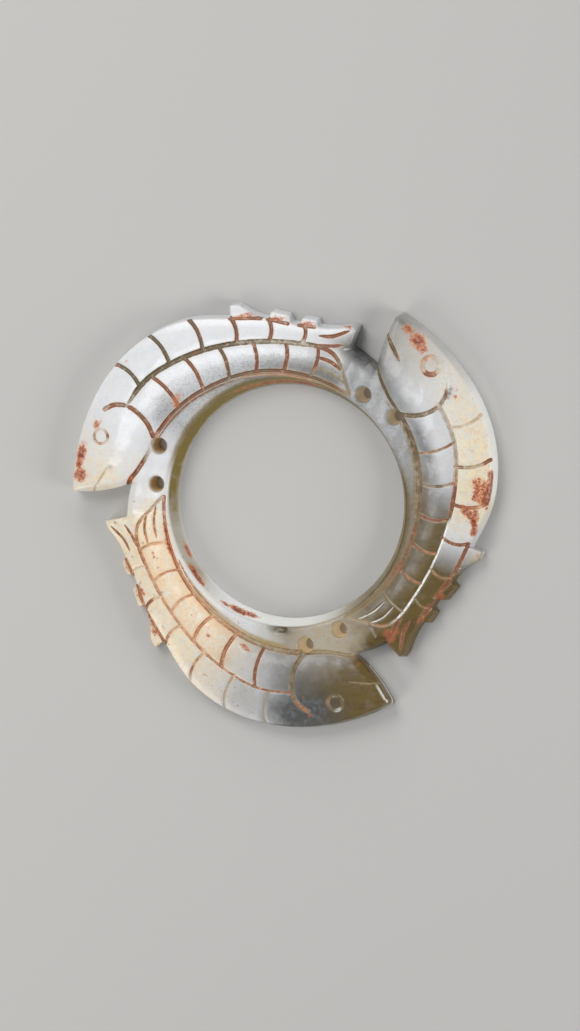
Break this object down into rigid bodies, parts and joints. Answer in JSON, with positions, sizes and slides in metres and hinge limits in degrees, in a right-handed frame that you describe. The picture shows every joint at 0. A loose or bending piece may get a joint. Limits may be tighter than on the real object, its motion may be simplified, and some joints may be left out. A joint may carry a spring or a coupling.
{
  "type": "jade ring pendant",
  "caption": "Flat carved stone ring: fish with scales and fins follow one another nose to tail round a wide bore, with small drilled holes for hanging.",
  "frame": {"origin": "centre of the ring's bounding box, on its flat back", "axes": "+Z out of the carved face, +Y towards the top of the design as it is shown, +X to its right, seen from the carved face"},
  "size_m": [0.1024, 0.0986, 0.0054],
  "materials": {
    "jade": "polished pale jade, stained red-brown in its carved lines"
  },
  "bodies": {
    "root": {"three_fish_ring": "jade"}
  },
  "joints": []
}
